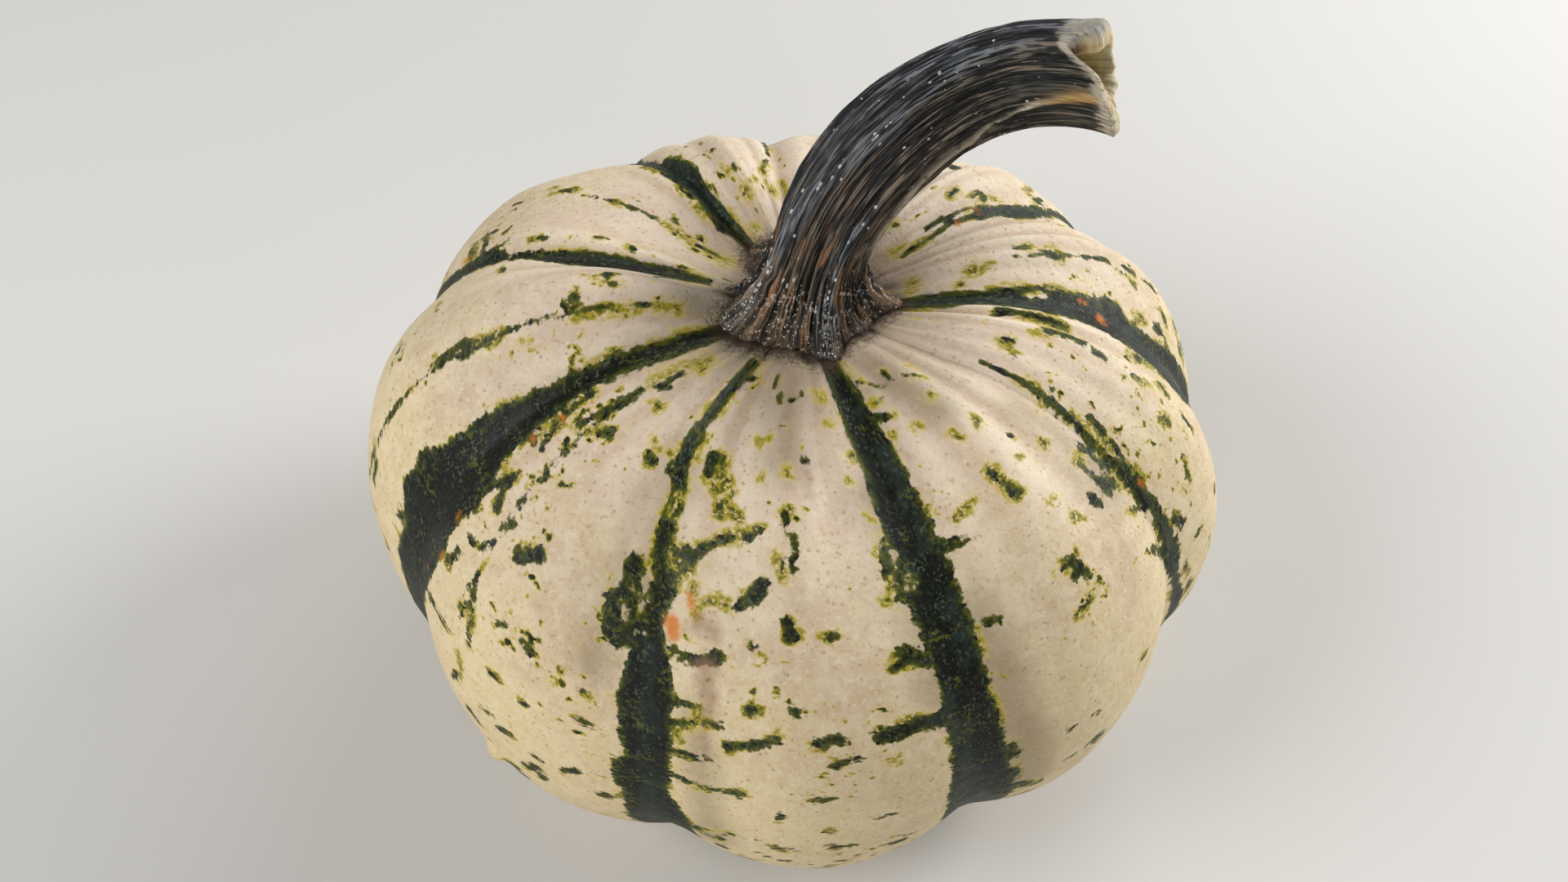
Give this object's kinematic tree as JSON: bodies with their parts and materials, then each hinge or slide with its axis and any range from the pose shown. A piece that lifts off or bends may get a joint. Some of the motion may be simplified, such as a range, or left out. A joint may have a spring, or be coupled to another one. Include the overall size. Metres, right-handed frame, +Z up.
{
  "type": "sweet dumpling squash",
  "caption": "Small ribbed winter squash: a rounded, lobed fruit with furrows that meet at a curved, ridged woody stalk with a cut end.",
  "frame": {"origin": "on the resting plane, under the middle of the fruit's box", "axes": "+Z up through the crown, -Y towards the viewer's side, +X to the side that the stalk bends to"},
  "size_m": [0.112, 0.1004, 0.099],
  "materials": {
    "rind": "satin waxy rind, cream with dark green stripes in the furrows and green flecks on the lobes",
    "stalk_wood": "rough dark woody stalk with tan fibres and pale specks, and a pale cut end"
  },
  "bodies": {
    "root": {"fruit": "rind", "stalk": "stalk_wood"}
  },
  "joints": []
}
